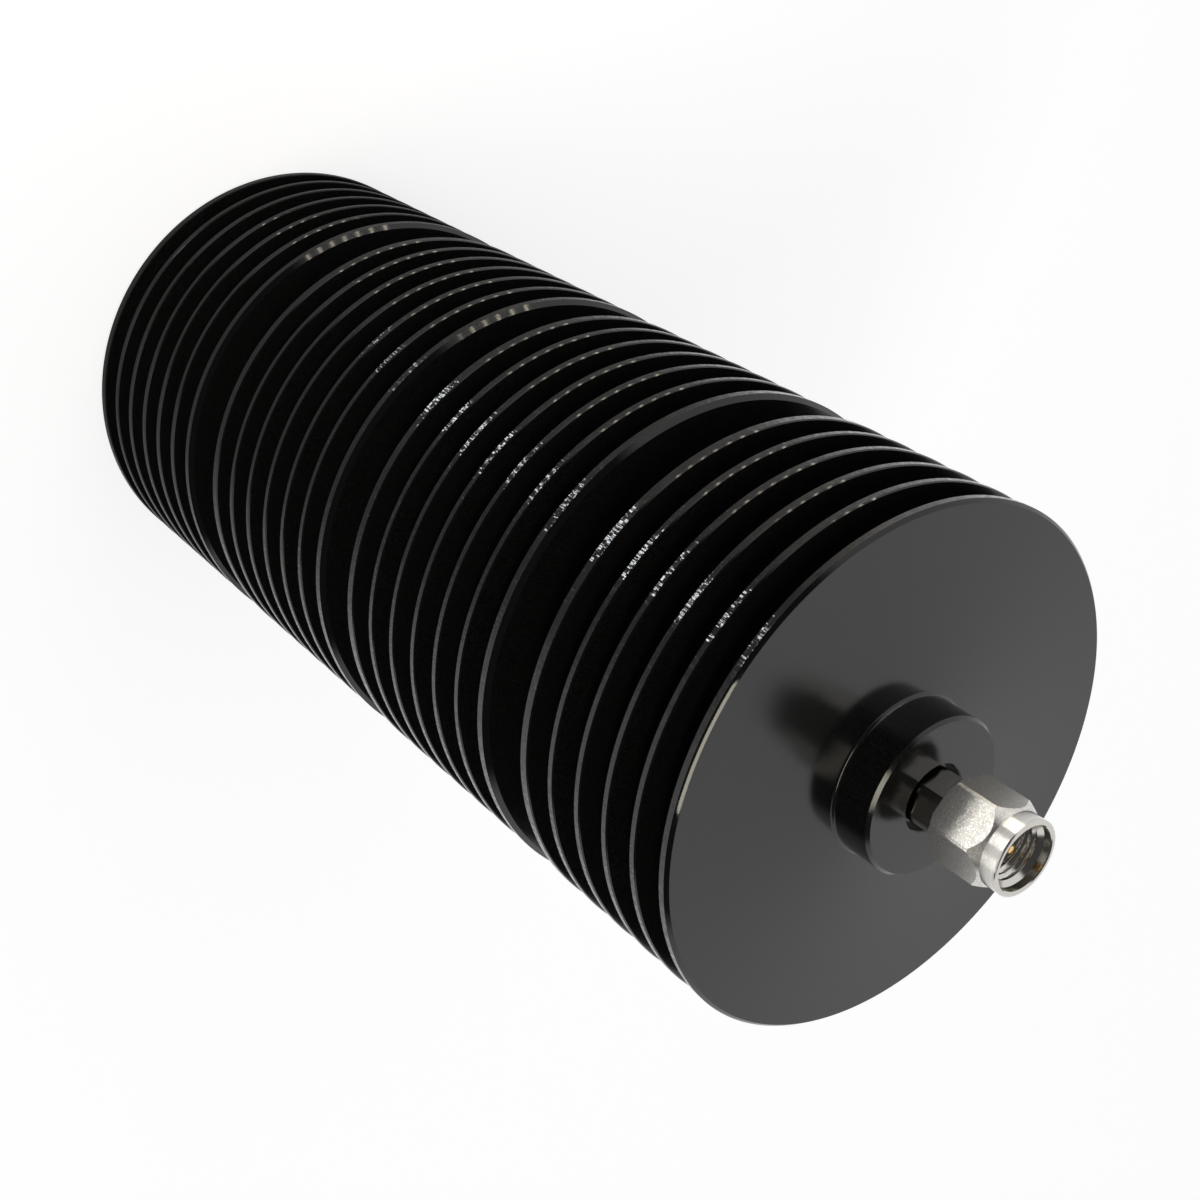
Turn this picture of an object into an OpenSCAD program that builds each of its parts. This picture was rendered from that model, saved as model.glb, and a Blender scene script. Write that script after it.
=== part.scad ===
// Finned coaxial termination: four turned fin sections shrunk onto one core, a film resistor
// inside the core and a small coaxial plug with a coupling nut that turns freely.
// It stands on its rear face at z = 0, with its axis along +Z and the plug on top. Sizes in mm.

/* [Fin sections] */
// Outer diameter of every fin
fin_d = 55; // [44:0.5:70]
// Thickness of an ordinary fin
fin_t = 1; // [0.7:0.05:1.6]
// Open space between two fins of one section
fin_gap = 3.15; // [2:0.05:5]
// Thickness of the fin at each end of a section
end_fin_t = 1.55; // [1.2:0.05:2.5]
// Fins on each of the three plain sections
fins = 7; // [4:1:10]
// Fins on the front section, the front disc included
front_fins = 6; // [4:1:10]
// Width of the edge break on a fin's rim
fin_break = 0.17; // [0.05:0.01:0.3]
// Depth of the edge break on a fin's rim
fin_break_depth = 0.1; // [0.04:0.01:0.3]
// Chamfer on the outward edge of a section's end fins
end_chamfer = 0.5; // [0.2:0.05:0.8]
// Diameter of the hub between the fins
hub_d = 24; // [22:0.5:30]
// Space between the rear and the rear middle section
rear_space = 5.7; // [4:0.05:9]
// Space between the two middle sections
middle_space = 5.15; // [4:0.05:9]
// Space between the front middle and the front section
front_space = 5.6; // [4:0.05:9]

/* [Front disc and boss] */
// Thickness of the front disc
disc_t = 1.25; // [1:0.05:2.5]
// Chamfer on the front disc's rim
disc_chamfer = 0.35; // [0.15:0.05:0.6]
// Diameter of the boss
boss_d = 16.5; // [12:0.1:20]
// Height of the boss above the front disc
boss_l = 4.5; // [3:0.1:8]
// Chamfer on the boss's front edge
boss_chamfer = 0.32; // [0.1:0.02:0.8]
// Cut that fills the corner at the boss's foot
boss_foot = 0.4; // [0.1:0.05:0.8]
// Clearance round the plug's hexagon in the boss
recess_play = 0.33; // [0.1:0.01:0.6]
// Depth of the recess round the hexagon
recess_l = 1; // [0.6:0.1:2]
// Space under the hexagon in the recess
recess_space = 0.2; // [0.1:0.05:0.4]

/* [Core and resistor] */
// Diameter of the core
core_d = 15; // [13:0.1:18]
// How far the core's rear end lies inside the rear face
core_recess = 0.4; // [0.1:0.1:1]
// Chamfer that leads the core into each section
lead_chamfer = 0.3; // [0.1:0.05:0.6]
// Wall of the front section between the core and the front disc's face
core_wall = 4; // [3:0.1:6]
// Diameter of the resistor chamber at its mouth
chamber_d = 6.9; // [6.4:0.1:8]
// Diameter of the ceramic rod
rod_d = 3; // [2.2:0.1:3.2]
// Length of the ceramic rod
rod_l = 30; // [20:1:50]
// Wall of the caps round the rod
cap_wall = 0.3; // [0.2:0.05:0.45]
// Length of a cap
cap_l = 3; // [2.2:0.1:4]
// End wall of a cap
cap_end = 0.8; // [0.5:0.1:1.2]
// Wall of the ground collet
collet_wall = 0.6; // [0.4:0.05:0.8]
// Height of the collet's closed foot
collet_foot = 0.6; // [0.4:0.1:1.2]

/* [Plug body] */
// Width of the wrench hexagon across its flats
hex_af = 5.8; // [5.6:0.05:6]
// Diameter to which the hexagon's corners are turned
hex_d = 6.25; // [6.1:0.05:6.5]
// Turned chamfer at both ends of the hexagon
hex_chamfer = 0.35; // [0.1:0.05:0.5]
// Length of the hexagon in front of the boss
hex_l = 3.2; // [2.5:0.1:5]
// Thread that screws into the boss
stem_d = 5.5; // [5.3:0.05:5.6]
// Diameter of the neck that the nut turns on
neck_d = 5.2; // [5:0.05:5.3]
// Outer diameter of the ferrule that enters the jack
ferrule_d = 4.59; // [4.5:0.01:4.65]
// Length of the ferrule
ferrule_l = 1.95; // [1.6:0.05:2.3]
// Diameter of the insulator
bead_d = 4.11; // [4:0.01:4.15]
// Diameter of the insulator's rear shoulder
bead_rear_d = 4.5; // [4.4:0.05:4.6]
// Length of the insulator's rear shoulder
bead_rear_l = 4; // [3:0.1:5]
// Diameter of the pin inside the insulator
pin_d = 1.27; // [1.2:0.01:1.4]
// Diameter of the pin's free tip
tip_d = 0.914; // [0.9:0.002:0.94]
// Length of the pin's free tip
tip_l = 2.1; // [1.6:0.05:2.5]
// Taper of the pin's free tip, along the pin
tip_taper = 0.3; // [0.1:0.05:0.6]
// Diameter of the flat end of the pin's tip
tip_end_d = 0.474; // [0.3:0.002:0.6]
// Diameter of the collar that holds the pin in the insulator
pin_collar_d = 1.7; // [1.5:0.05:2]
// Length of the pin's collar
pin_collar_l = 1; // [0.6:0.1:1.6]
// Distance of the pin's collar in front of the insulator's shoulder
pin_collar_space = 2; // [1:0.1:3]

/* [Coupling nut] */
// Width across the flats
nut_af = 8; // [7.9:0.05:8.5]
// Diameter to which the corners are turned
nut_corner_d = 9.05; // [8.8:0.05:9.2]
// Chamfer on the corners at the nut's rear end
nut_chamfer = 0.35; // [0.1:0.05:0.5]
// Length of the nut
nut_l = 7.8; // [7.6:0.1:9]
// Diameter of the round collar at the mouth
collar_d = 7.7; // [7.4:0.02:7.9]
// Length of the round collar
collar_l = 1.8; // [1.4:0.05:2.4]
// Edge break round the collar's front edge
collar_break = 0.15; // [0.05:0.05:0.3]
// Diameter of the smooth mouth
mouth_d = 6.6; // [6.5:0.05:6.8]
// Depth of the smooth mouth
mouth_l = 1.3; // [0.8:0.1:1.6]
// Inner diameter of the thread
thread_bore_d = 5.72; // [5.6:0.02:5.8]
// Length of the thread
thread_l = 2.9; // [2.4:0.1:3]
// Diameter of the relief behind the thread
relief_d = 6.4; // [6.36:0.02:6.5]
// Depth of the jack's seat below the mouth
seat_depth = 3.7; // [3.4:0.05:4]
// Running clearance of the nut on the neck
nut_play = 0.05; // [0.02:0.01:0.1]
// Space between the nut and the hexagon behind it
nut_space = 0.1; // [0.05:0.05:0.4]
// Wall of the nut behind the retaining ring
ring_wall = 1; // [0.6:0.1:1.4]
// Gap between the ends of the retaining ring
ring_gap = 1.2; // [0.6:0.1:2]
// Thickness of the retaining ring
ring_t = 0.5; // [0.3:0.05:0.6]
// How far the ring stands out of the neck
ring_proud = 0.28; // [0.2:0.02:0.4]
// How far the ring lies in the neck's groove
ring_sunk = 0.3; // [0.2:0.02:0.34]
// Outer diameter of the gasket
gasket_d = 5.9; // [5.7:0.05:6.2]
// Thickness of the gasket
gasket_t = 0.8; // [0.5:0.05:1]

/* [Hidden] */
$fn = 96;
fin_r = fin_d / 2;
hub_r = hub_d / 2;
boss_r = boss_d / 2;
core_r = core_d / 2;
section_l = 2 * end_fin_t + (fins - 2) * fin_t + (fins - 1) * fin_gap;
front_l = end_fin_t + (front_fins - 2) * fin_t + disc_t + (front_fins - 1) * fin_gap;
rear_middle_z = section_l + rear_space;
front_middle_z = rear_middle_z + section_l + middle_space;
front_z = front_middle_z + section_l + front_space;
disc_z = front_z + front_l;
boss_z = disc_z + boss_l;
core_top_z = disc_z - core_wall;
recess_d = hex_d + 2 * recess_play;
// Resistor, measured down from the core's front end
socket_gap = 0.5;
socket_l = 2;
socket_d = 2.2;
tail_d = 0.95;
cap_d = rod_d + 2 * cap_wall;
front_cap_z = core_top_z - socket_gap - socket_l;
rod_top_z = front_cap_z - cap_end;
rod_z = rod_top_z - rod_l;
chamber_z = rod_z - cap_end;
collet_d = cap_d + 2 * collet_wall;
collet_slot = 0.4;
// Plug, measured from the boss
hex_z = boss_z - recess_l + recess_space;
hex_top_z = boss_z + hex_l;
nut_z = hex_top_z + nut_space;
nut_top_z = nut_z + nut_l;
seat_z = nut_top_z - seat_depth;
shoulder_z = seat_z - ferrule_l;
bead_step_z = core_top_z + bead_rear_l;
pin_collar_z = bead_step_z + pin_collar_space;
// Nut inside, from its rear end
nut_bore_r = neck_d / 2 + nut_play;
ring_z = nut_z + ring_wall;
ring_room_r = neck_d / 2 + ring_proud + nut_play;
thread_top_z = nut_top_z - mouth_l;
thread_z = thread_top_z - thread_l;
nut_floor_z = shoulder_z - nut_play;
cone_z = nut_top_z - collar_l;
cone_l = (nut_corner_d - collar_d) / 2 / tan(30);

// Height of the rear face of fin i above its section's rear face
function fin_z(i) = i == 0 ? 0 : end_fin_t + fin_gap + (i - 1) * (fin_t + fin_gap);

// An edge cut is its width along the rim and its depth below the rim
fin_edge = [fin_break, fin_break_depth];
end_edge = [end_chamfer, end_chamfer];

// Outline of one fin from hub to hub, with its rear and front edge cuts
function fin_points(z, t, rear, front) = [
    [hub_r, z],
    [fin_r - rear[1], z],
    [fin_r, z + rear[0]],
    [fin_r, z + t - front[0]],
    [fin_r - front[1], z + t],
    [hub_r, z + t]];

// The rear fin of a section, which starts at the bore
rear_fin_points = concat(
    [[core_r, lead_chamfer], [core_r + lead_chamfer, 0]],
    [for (i = [1 : 5]) fin_points(0, end_fin_t, end_edge, fin_edge)[i]]);

// A plain section: its hub runs on in front of the last fin and sets the space to the next section
module fin_section(space) {
    rotate_extrude()
        polygon(concat(
            rear_fin_points,
            [for (i = [1 : fins - 2]) each fin_points(fin_z(i), fin_t, fin_edge, fin_edge)],
            fin_points(fin_z(fins - 1), end_fin_t, fin_edge, end_edge),
            [[hub_r, section_l + space], [core_r, section_l + space]]));
}

module rear_fin_section() {
    color([0.06, 0.06, 0.065])
        fin_section(rear_space);
}

module rear_middle_fin_section() {
    color([0.06, 0.06, 0.065])
        translate([0, 0, rear_middle_z])
            fin_section(middle_space);
}

module front_middle_fin_section() {
    color([0.06, 0.06, 0.065])
        translate([0, 0, front_middle_z])
            fin_section(front_space);
}

// The front section ends in the front disc and the boss, which has the plug's thread and recess
module front_fin_section() {
    boss_top = front_l + boss_l;
    core_top = core_top_z - front_z;
    color([0.06, 0.06, 0.065])
        translate([0, 0, front_z])
            rotate_extrude()
                polygon(concat(
                    rear_fin_points,
                    [for (i = [1 : front_fins - 2]) each fin_points(fin_z(i), fin_t, fin_edge, fin_edge)],
                    [[hub_r, front_l - disc_t],
                     [fin_r - fin_break_depth, front_l - disc_t],
                     [fin_r, front_l - disc_t + fin_break],
                     [fin_r, front_l - disc_chamfer],
                     [fin_r - disc_chamfer, front_l],
                     [boss_r + boss_foot, front_l],
                     [boss_r, front_l + boss_foot],
                     [boss_r, boss_top - boss_chamfer],
                     [boss_r - boss_chamfer, boss_top],
                     [recess_d / 2, boss_top],
                     [recess_d / 2, boss_top - recess_l],
                     [stem_d / 2, boss_top - recess_l],
                     [stem_d / 2, core_top],
                     [core_r, core_top]]));
}

// Solid bar with a blind chamber that narrows from the pin towards the grounded end
module core() {
    collet_top = chamber_z + cap_l;
    color([0.72, 0.73, 0.75])
        rotate_extrude()
            polygon([
                [0, core_recess],
                [core_r - lead_chamfer, core_recess],
                [core_r, core_recess + lead_chamfer],
                [core_r, core_top_z],
                [chamber_d / 2, core_top_z],
                [chamber_d / 2, front_cap_z - cap_l],
                [collet_d / 2, collet_top],
                [collet_d / 2, chamber_z],
                [0, chamber_z]]);
}

module resistor_rod() {
    color([0.35, 0.3, 0.27])
        translate([0, 0, rod_z])
            cylinder(d = rod_d, h = rod_l);
}

// Cap with the socket for the pin's tail
module resistor_front_cap() {
    color([0.8, 0.8, 0.78])
        rotate_extrude()
            polygon([
                [0, rod_top_z],
                [rod_d / 2, rod_top_z],
                [rod_d / 2, front_cap_z - cap_l],
                [cap_d / 2, front_cap_z - cap_l],
                [cap_d / 2, front_cap_z],
                [socket_d / 2, front_cap_z],
                [socket_d / 2, front_cap_z + socket_l],
                [tail_d / 2, front_cap_z + socket_l],
                [tail_d / 2, front_cap_z],
                [0, front_cap_z]]);
}

module resistor_rear_cap() {
    color([0.8, 0.8, 0.78])
        rotate_extrude()
            polygon([
                [0, chamber_z],
                [cap_d / 2, chamber_z],
                [cap_d / 2, chamber_z + cap_l],
                [rod_d / 2, chamber_z + cap_l],
                [rod_d / 2, rod_z],
                [0, rod_z]]);
}

// Spring sleeve, cut by four slots that leave a closed ring at its foot
module ground_collet() {
    color([0.78, 0.6, 0.28])
        difference() {
            translate([0, 0, chamber_z])
                cylinder(d = collet_d, h = cap_l);
            translate([0, 0, chamber_z - 1])
                cylinder(d = cap_d, h = cap_l + 2);
            for (a = [0, 90])
                rotate([0, 0, a])
                    translate([-collet_d, -collet_slot / 2, chamber_z + collet_foot])
                        cube([2 * collet_d, collet_slot, cap_l]);
        }
}

// Outer conductor: threaded stem, wrench hexagon, neck with the ring groove, ferrule
module connector_body() {
    color([0.62, 0.61, 0.58])
        difference() {
            union() {
                translate([0, 0, core_top_z])
                    cylinder(d = stem_d, h = hex_z + 0.5 - core_top_z);
                intersection() {
                    translate([0, 0, hex_z])
                        rotate([0, 0, 30])
                            cylinder(d = hex_af / cos(30), h = hex_top_z - hex_z, $fn = 6);
                    rotate_extrude()
                        polygon([
                            [0, hex_z],
                            [hex_d / 2 - hex_chamfer, hex_z],
                            [hex_d / 2, hex_z + hex_chamfer],
                            [hex_d / 2, hex_top_z - hex_chamfer],
                            [hex_d / 2 - hex_chamfer, hex_top_z],
                            [0, hex_top_z]]);
                }
                rotate_extrude()
                    polygon([
                        [0, hex_top_z - 0.5],
                        [neck_d / 2, hex_top_z - 0.5],
                        [neck_d / 2, ring_z],
                        [neck_d / 2 - ring_sunk, ring_z],
                        [neck_d / 2 - ring_sunk, ring_z + ring_t],
                        [neck_d / 2, ring_z + ring_t],
                        [neck_d / 2, shoulder_z],
                        [ferrule_d / 2, shoulder_z],
                        [ferrule_d / 2, seat_z],
                        [0, seat_z]]);
            }
            rotate_extrude()
                polygon([
                    [0, core_top_z - 1],
                    [bead_rear_d / 2, core_top_z - 1],
                    [bead_rear_d / 2, bead_step_z],
                    [bead_d / 2, bead_step_z],
                    [bead_d / 2, seat_z + 1],
                    [0, seat_z + 1]]);
        }
}

module connector_insulator() {
    color([0.93, 0.93, 0.9])
        rotate_extrude()
            polygon([
                [pin_d / 2, core_top_z],
                [bead_rear_d / 2, core_top_z],
                [bead_rear_d / 2, bead_step_z],
                [bead_d / 2, bead_step_z],
                [bead_d / 2, seat_z],
                [pin_d / 2, seat_z],
                [pin_d / 2, pin_collar_z + pin_collar_l],
                [pin_collar_d / 2, pin_collar_z + pin_collar_l],
                [pin_collar_d / 2, pin_collar_z],
                [pin_d / 2, pin_collar_z]]);
}

// Contact: tail in the resistor's socket, collar in the insulator, bare tip in front of the seat
module centre_pin() {
    color([0.85, 0.64, 0.25])
        rotate_extrude()
            polygon([
                [0, front_cap_z],
                [tail_d / 2, front_cap_z],
                [tail_d / 2, core_top_z],
                [pin_d / 2, core_top_z],
                [pin_d / 2, pin_collar_z],
                [pin_collar_d / 2, pin_collar_z],
                [pin_collar_d / 2, pin_collar_z + pin_collar_l],
                [pin_d / 2, pin_collar_z + pin_collar_l],
                [pin_d / 2, seat_z],
                [tip_d / 2, seat_z],
                [tip_d / 2, seat_z + tip_l - tip_taper],
                [tip_end_d / 2, seat_z + tip_l],
                [0, seat_z + tip_l]]);
}

// Hexagon with turned corners, a cone down to the round collar, and the stepped bore
module coupling_nut() {
    color([0.66, 0.65, 0.62])
        difference() {
            union() {
                intersection() {
                    translate([0, 0, nut_z])
                        cylinder(d = nut_af / cos(30), h = nut_l, $fn = 6);
                    rotate_extrude()
                        polygon([
                            [0, nut_z],
                            [nut_corner_d / 2 - nut_chamfer, nut_z],
                            [nut_corner_d / 2, nut_z + nut_chamfer],
                            [nut_corner_d / 2, cone_z - cone_l],
                            [collar_d / 2, cone_z],
                            [0, cone_z]]);
                }
                rotate_extrude()
                    polygon([
                        [0, cone_z - 1],
                        [collar_d / 2, cone_z - 1],
                        [collar_d / 2, nut_top_z - collar_break],
                        [collar_d / 2 - collar_break, nut_top_z],
                        [0, nut_top_z]]);
            }
            rotate_extrude()
                polygon([
                    [0, nut_z - 1],
                    [nut_bore_r, nut_z - 1],
                    [nut_bore_r, ring_z - nut_play],
                    [ring_room_r, ring_z - nut_play],
                    [ring_room_r, ring_z + ring_t + nut_play],
                    [nut_bore_r, ring_z + ring_t + nut_play],
                    [nut_bore_r, nut_floor_z],
                    [relief_d / 2, nut_floor_z],
                    [relief_d / 2, thread_z],
                    [thread_bore_d / 2, thread_z],
                    [thread_bore_d / 2, thread_top_z],
                    [mouth_d / 2, thread_top_z + (mouth_d - thread_bore_d) / 2],
                    [mouth_d / 2, nut_top_z + 1],
                    [0, nut_top_z + 1]]);
        }
}

// Split ring, sprung into the neck's groove and the nut's groove
module retaining_ring() {
    color([0.75, 0.58, 0.3])
        difference() {
            translate([0, 0, ring_z])
                cylinder(r = neck_d / 2 + ring_proud, h = ring_t);
            translate([0, 0, ring_z - 1])
                cylinder(r = neck_d / 2 - ring_sunk, h = ring_t + 2);
            translate([0, -ring_gap / 2, ring_z - 1])
                cube([neck_d, ring_gap, ring_t + 2]);
        }
}

module nut_gasket() {
    color([0.5, 0.2, 0.15])
        difference() {
            translate([0, 0, shoulder_z])
                cylinder(d = gasket_d, h = gasket_t);
            translate([0, 0, shoulder_z - 1])
                cylinder(d = ferrule_d, h = gasket_t + 2);
        }
}

rear_fin_section();
rear_middle_fin_section();
front_middle_fin_section();
front_fin_section();
core();
resistor_rod();
resistor_front_cap();
resistor_rear_cap();
ground_collet();
connector_body();
connector_insulator();
centre_pin();
coupling_nut();
retaining_ring();
nut_gasket();
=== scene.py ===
import math
import bmesh
import bpy
from mathutils import Matrix, Vector


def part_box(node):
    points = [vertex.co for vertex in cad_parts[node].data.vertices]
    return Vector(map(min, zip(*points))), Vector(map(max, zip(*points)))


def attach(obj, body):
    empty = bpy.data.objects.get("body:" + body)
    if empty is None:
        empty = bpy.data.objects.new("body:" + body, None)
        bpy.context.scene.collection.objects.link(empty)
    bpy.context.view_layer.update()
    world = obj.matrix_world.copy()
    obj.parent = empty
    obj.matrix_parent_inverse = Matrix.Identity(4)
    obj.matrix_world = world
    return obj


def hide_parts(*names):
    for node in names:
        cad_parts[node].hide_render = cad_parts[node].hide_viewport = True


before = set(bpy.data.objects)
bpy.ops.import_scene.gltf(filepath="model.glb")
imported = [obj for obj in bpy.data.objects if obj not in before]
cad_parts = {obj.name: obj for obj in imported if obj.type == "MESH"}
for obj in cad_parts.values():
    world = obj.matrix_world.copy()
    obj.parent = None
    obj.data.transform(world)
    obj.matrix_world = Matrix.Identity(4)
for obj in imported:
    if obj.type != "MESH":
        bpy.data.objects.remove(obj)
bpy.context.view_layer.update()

# Studio: white paper under a white tent that is open on the camera's side. The load stands on its
# rear end, and the camera is rolled to show it lying across the picture. Small lamps close to it
# give its rims their sparks and dots, and some light the nut alone.
MM = 0.001
camera_data = bpy.data.cameras.new("camera")
camera_data.sensor_width = 36.0
camera_data.lens = 54.124
camera_data.clip_start = 0.005
camera = bpy.data.objects.new("camera", camera_data)
bpy.context.collection.objects.link(camera)
camera_place = Vector((2.215, -142.587, 213.942)) * MM
camera_right = Vector((-0.56332, 0.57620, 0.59217))
camera_down = Vector((0.82624, 0.39285, 0.40373))
camera_forward = Vector((0.0, 0.71670, -0.69738))
camera_turn = Matrix((camera_right, -camera_down, -camera_forward)).transposed().to_4x4()
camera.matrix_world = Matrix.Translation(camera_place) @ camera_turn
bpy.context.scene.camera = camera
bpy.context.scene.view_settings.view_transform = "Standard"


def make_node(tree, kind, **settings):
    """Adds a node. Settings that name a socket fill that socket, the others set the node."""
    item = tree.nodes.new(kind)
    for key, value in settings.items():
        label = key.replace("_", " ")
        socket = next((s for s in item.inputs if s.name.lower() == label), None)
        if socket is not None:
            socket.default_value = value
        else:
            setattr(item, key, value)
    return item


def math_node(tree, operation, first, second=None):
    """Math node whose inputs are sockets or numbers. Returns its output socket."""
    item = make_node(tree, "ShaderNodeMath", operation=operation)
    for slot, value in zip(item.inputs, (first, second)):
        if isinstance(value, (int, float)):
            slot.default_value = value
        elif value is not None:
            tree.links.new(value, slot)
    return item.outputs[0]


def spread(tree, value, low, high, start=0.3, end=0.7, ease="LINEAR"):
    """Maps a value from one range to another."""
    item = make_node(tree, "ShaderNodeMapRange", interpolation_type=ease)
    tree.links.new(value, item.inputs["Value"])
    for label, number in (("From Min", start), ("From Max", end),
                          ("To Min", low), ("To Max", high)):
        item.inputs[label].default_value = number
    return item.outputs[0]


def seen_share(tree, direct, mirrored):
    """Share of the plain white that a ray sees, from the camera or through glass, and mirrored."""
    path = make_node(tree, "ShaderNodeLightPath").outputs
    share = math_node(tree, "MULTIPLY", path["Is Camera Ray"], direct)
    for label, amount in (("Is Transmission Ray", direct), ("Is Glossy Ray", mirrored)):
        part = math_node(tree, "MULTIPLY", path[label], amount)
        share = math_node(tree, "MAXIMUM", share, part)
    return share


world = bpy.data.worlds.new("white_tent")
bpy.context.scene.world = world
world.use_nodes = True
sky = world.node_tree
sky.nodes.clear()
sky_fill = make_node(sky, "ShaderNodeBackground", color=(1, 1, 1, 1), strength=0.4)
sky_seen = make_node(sky, "ShaderNodeBackground", color=(1, 1, 1, 1))
# Polished surfaces that face the camera mirror the dark room through the tent's opening.
opening_way = Vector((0.42, -0.66, 0.62)).normalized()
opening_edge = (0.36, 0.56)
opening_level = 0.06
sky_facing = make_node(sky, "ShaderNodeVectorMath", operation="DOT_PRODUCT")
sky_facing.inputs[1].default_value = opening_way
sky.links.new(make_node(sky, "ShaderNodeTexCoord").outputs["Generated"], sky_facing.inputs[0])
sky_opening = spread(sky, sky_facing.outputs["Value"], 1.0, opening_level, *opening_edge,
                     ease="SMOOTHSTEP")
sky_level = math_node(sky, "MAXIMUM", sky_opening,
                      make_node(sky, "ShaderNodeLightPath").outputs["Is Camera Ray"])
sky.links.new(sky_level, sky_seen.inputs["Strength"])
sky_mix = make_node(sky, "ShaderNodeMixShader")
sky_out = make_node(sky, "ShaderNodeOutputWorld")
sky.links.new(seen_share(sky, 1.0, 1.0), sky_mix.inputs[0])
sky.links.new(sky_fill.outputs[0], sky_mix.inputs[1])
sky.links.new(sky_seen.outputs[0], sky_mix.inputs[2])
sky.links.new(sky_mix.outputs[0], sky_out.inputs[0])

floor_half = 3.0
floor_mesh = bpy.data.meshes.new("floor")
floor_mesh.from_pydata([(floor_half * x, floor_half * y, 0) for x, y in
                        ((-1, -1), (1, -1), (1, 1), (-1, 1))], [], [(0, 1, 2, 3)])
floor = bpy.data.objects.new("floor", floor_mesh)
bpy.context.collection.objects.link(floor)
floor_paper = bpy.data.materials.new("floor_paper")
floor_paper.use_nodes = True
paper = floor_paper.node_tree
paper.nodes.clear()
paper_matt = make_node(paper, "ShaderNodeBsdfDiffuse", color=(0.495, 0.5, 0.54, 1))
paper_lit = make_node(paper, "ShaderNodeEmission", color=(1, 1, 1, 1))
paper_sum = make_node(paper, "ShaderNodeAddShader")
paper_out = make_node(paper, "ShaderNodeOutputMaterial")
paper_white = 0.69
paper_far_white = 0.79
paper_near = make_node(paper, "ShaderNodeVectorMath", operation="DISTANCE")
paper_near.inputs[1].default_value = (-0.05, -0.09, 0.0)
paper.links.new(make_node(paper, "ShaderNodeTexCoord").outputs["Object"], paper_near.inputs[0])
paper_away = paper_near.outputs["Value"]
# Close in front of the load, polished rims mirror the paper's own grey instead of the white.
paper_mirrored = spread(paper, paper_away, 0.0, paper_white, 0.09, 0.16, ease="SMOOTHSTEP")
# The lamps' light falls off away from the load, and the white makes up for that.
paper_even = spread(paper, paper_away, paper_white, paper_far_white, 0.3, 2.6)
paper.links.new(seen_share(paper, paper_even, paper_mirrored), paper_lit.inputs["Strength"])
paper.links.new(paper_matt.outputs[0], paper_sum.inputs[0])
paper.links.new(paper_lit.outputs[0], paper_sum.inputs[1])
paper.links.new(paper_sum.outputs[0], paper_out.inputs[0])
floor_mesh.materials.append(floor_paper)


def soft_box(name, place, aim, along, length, width, power, colour):
    """Rectangular lamp at a place, which faces the way of aim, with its long side along a way."""
    lamp = bpy.data.lights.new(name, "AREA")
    lamp.shape = "RECTANGLE"
    lamp.size = length
    lamp.size_y = width
    lamp.energy = power
    lamp.color = colour
    back = -Vector(aim).normalized()
    side = (Vector(along) - back * back.dot(Vector(along))).normalized()
    turn = Matrix((side, back.cross(side), back)).transposed().to_4x4()
    box = bpy.data.objects.new(name, lamp)
    box.matrix_world = Matrix.Translation(place) @ turn
    box.visible_camera = False
    bpy.context.collection.objects.link(box)
    return box


# The long key box gives the lit strips on the edges of the disc and the boss.
key_way = Vector((0.403, -0.5015, 0.7676)).normalized()
key_distance = 2.0
disc_middle = Vector((0, 0, 0.12))
key_box = soft_box("key_soft_box", disc_middle + key_way * key_distance, -key_way,
                   along=(0.4945, 0.213, -0.085), length=1.45, width=0.3, power=12.5,
                   colour=(1.0, 0.96, 0.8))

# Strips on the paper give the sparks along the rims. Each has its place, length, width and power.
strip_along = (-0.07, -1.0, 0)
strip_colour = (0.94, 0.97, 1.0)
for name, place, length, width, power in (
        ("front_strip_light", (-0.032, -0.143, 0.002), 0.056, 0.011, 0.0425),
        ("middle_strip_light", (-0.0285, -0.092, 0.002), 0.046, 0.006, 0.0156),
        ("rear_strip_light", (-0.0265, -0.0625, 0.002), 0.014, 0.0012, 0.00105)):
    soft_box(name, Vector(place), (0, 0, 1), strip_along, length, width, power, strip_colour)

# A row of upright bars beside the load gives the dots along the fins' edges.
bar_middle = Vector((-0.019, -0.021, 0.075))
bar_distance = 0.15
bar_first = 9.5
bar_step = 6.35
for bar in range(7):
    bar_way = math.radians(bar_first + bar_step * bar)
    bar_aim = Vector((math.cos(bar_way), math.sin(bar_way), 0))
    soft_box("side_bar_light_%d" % bar, bar_middle - bar_distance * bar_aim, bar_aim,
             along=(0, 0, 1), length=0.146, width=0.0025, power=0.0125, colour=(1.0, 0.9, 0.7))

# Three low boxes and a card in front light the nut past the front disc's edge. Each low box has
# its turn round the axis, its length and its power.
nut_boxes = []
nut_middle = Vector((0, 0, 0.133))
low_front = Vector((0.0, -0.25, 0.017))
low_width = 0.014
for name, turn, length, power in (
        ("low_soft_box", 0, 0.15, 0.075),
        ("left_soft_box", -60, 0.16, 0.02),
        ("right_soft_box", 60, 0.16, 0.05)):
    place = Matrix.Rotation(math.radians(turn), 3, "Z") @ low_front
    nut_boxes.append(soft_box(name, place, nut_middle - place, (-place.y, place.x, 0),
                              length, low_width, power, colour=(1.0, 0.98, 0.93)))
card_way = Vector((0.56, -0.8, 0.21))
card_distance = 0.28
card_middle = Vector((0, 0, 0.134))
nut_boxes.append(soft_box("card_soft_box", card_middle + card_way * card_distance, -card_way,
                          along=(0.82, 0.574, 0), length=0.45, width=0.12, power=0.15,
                          colour=(1.0, 0.97, 0.9)))

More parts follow.
